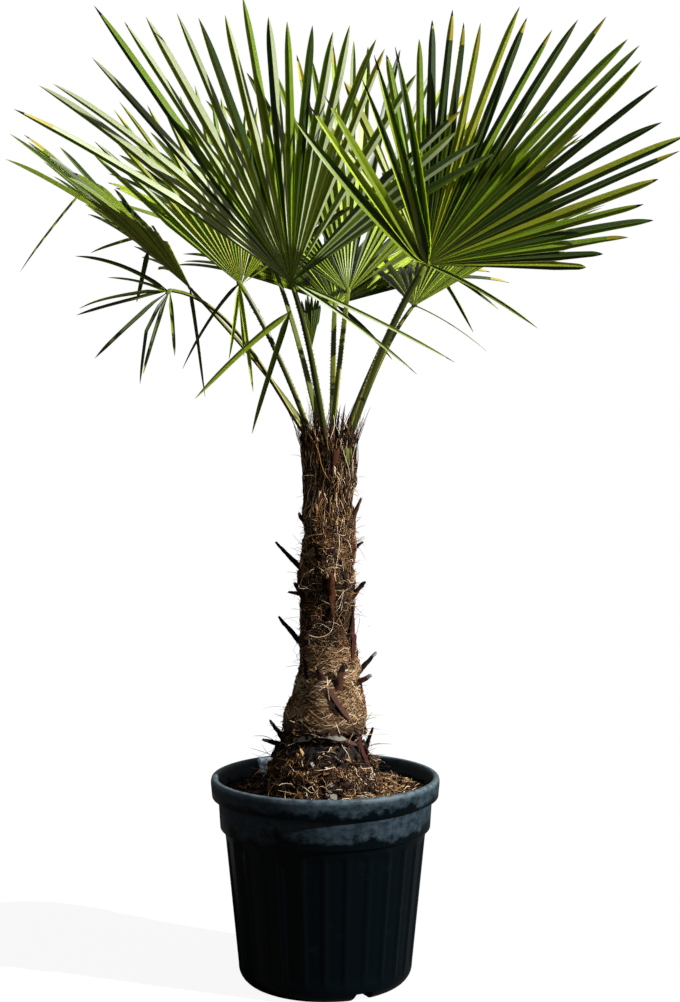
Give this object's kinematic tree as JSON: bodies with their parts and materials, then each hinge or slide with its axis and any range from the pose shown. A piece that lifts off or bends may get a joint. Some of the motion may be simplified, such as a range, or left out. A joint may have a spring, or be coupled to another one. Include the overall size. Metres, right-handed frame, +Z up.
{
  "type": "potted windmill palm",
  "caption": "Young fan palm with a fibre-wrapped trunk, old leaf bases, stiff pleated fan leaves on slender stalks, standing in a round fluted nursery pot of soil.",
  "frame": {"origin": "centre of the pot's flat underside, on the pot's axis", "axes": "+Z up along the pot's axis, -Y towards the side whose big leaf leans out to the left, +X to the right of that side"},
  "size_m": [1.3494, 1.2992, 2.0303],
  "materials": {
    "pot_plastic": "moulded black polyethylene with a dusty satin sheen",
    "potting_soil": "moist crumbly bark compost",
    "trunk_fibre": "matted brown leaf-sheath fibre",
    "leaf_base": "dry broken leaf base",
    "leaf_stalk": "smooth green stalk with pale edges",
    "leaf_blade": "waxy pleated leaf",
    "young_leaf_blade": "folded waxy young leaf"
  },
  "bodies": {
    "root": {"pot": "pot_plastic", "soil": "potting_soil", "trunk": "trunk_fibre", "leaf_base_01": "leaf_base", "leaf_base_02": "leaf_base", "leaf_base_03": "leaf_base", "leaf_base_04": "leaf_base", "leaf_base_05": "leaf_base", "leaf_base_06": "leaf_base", "leaf_base_07": "leaf_base", "leaf_base_08": "leaf_base", "leaf_base_09": "leaf_base", "leaf_base_10": "leaf_base", "leaf_base_11": "leaf_base", "leaf_base_12": "leaf_base", "leaf_base_13": "leaf_base", "leaf_base_14": "leaf_base", "leaf_base_15": "leaf_base", "leaf_base_16": "leaf_base", "leaf_base_17": "leaf_base", "leaf_base_18": "leaf_base", "leaf_base_19": "leaf_base", "leaf_base_20": "leaf_base", "leaf_base_21": "leaf_base", "leaf_base_22": "leaf_base", "stalk_front_left": "leaf_stalk", "blade_front_left": "leaf_blade", "stalk_front_right": "leaf_stalk", "blade_front_right": "leaf_blade", "stalk_far_left": "leaf_stalk", "blade_far_left": "leaf_blade", "stalk_left": "leaf_stalk", "blade_left": "leaf_blade", "stalk_centre": "leaf_stalk", "blade_centre": "leaf_blade", "stalk_right": "leaf_stalk", "blade_right": "leaf_blade", "stalk_back_left": "leaf_stalk", "blade_back_left": "leaf_blade", "stalk_back_right": "leaf_stalk", "blade_back_right": "leaf_blade", "stalk_back": "leaf_stalk", "blade_back": "leaf_blade", "stalk_low_left": "leaf_stalk", "blade_low_left": "leaf_blade", "stalk_young": "leaf_stalk", "blade_young": "young_leaf_blade"}
  },
  "joints": []
}
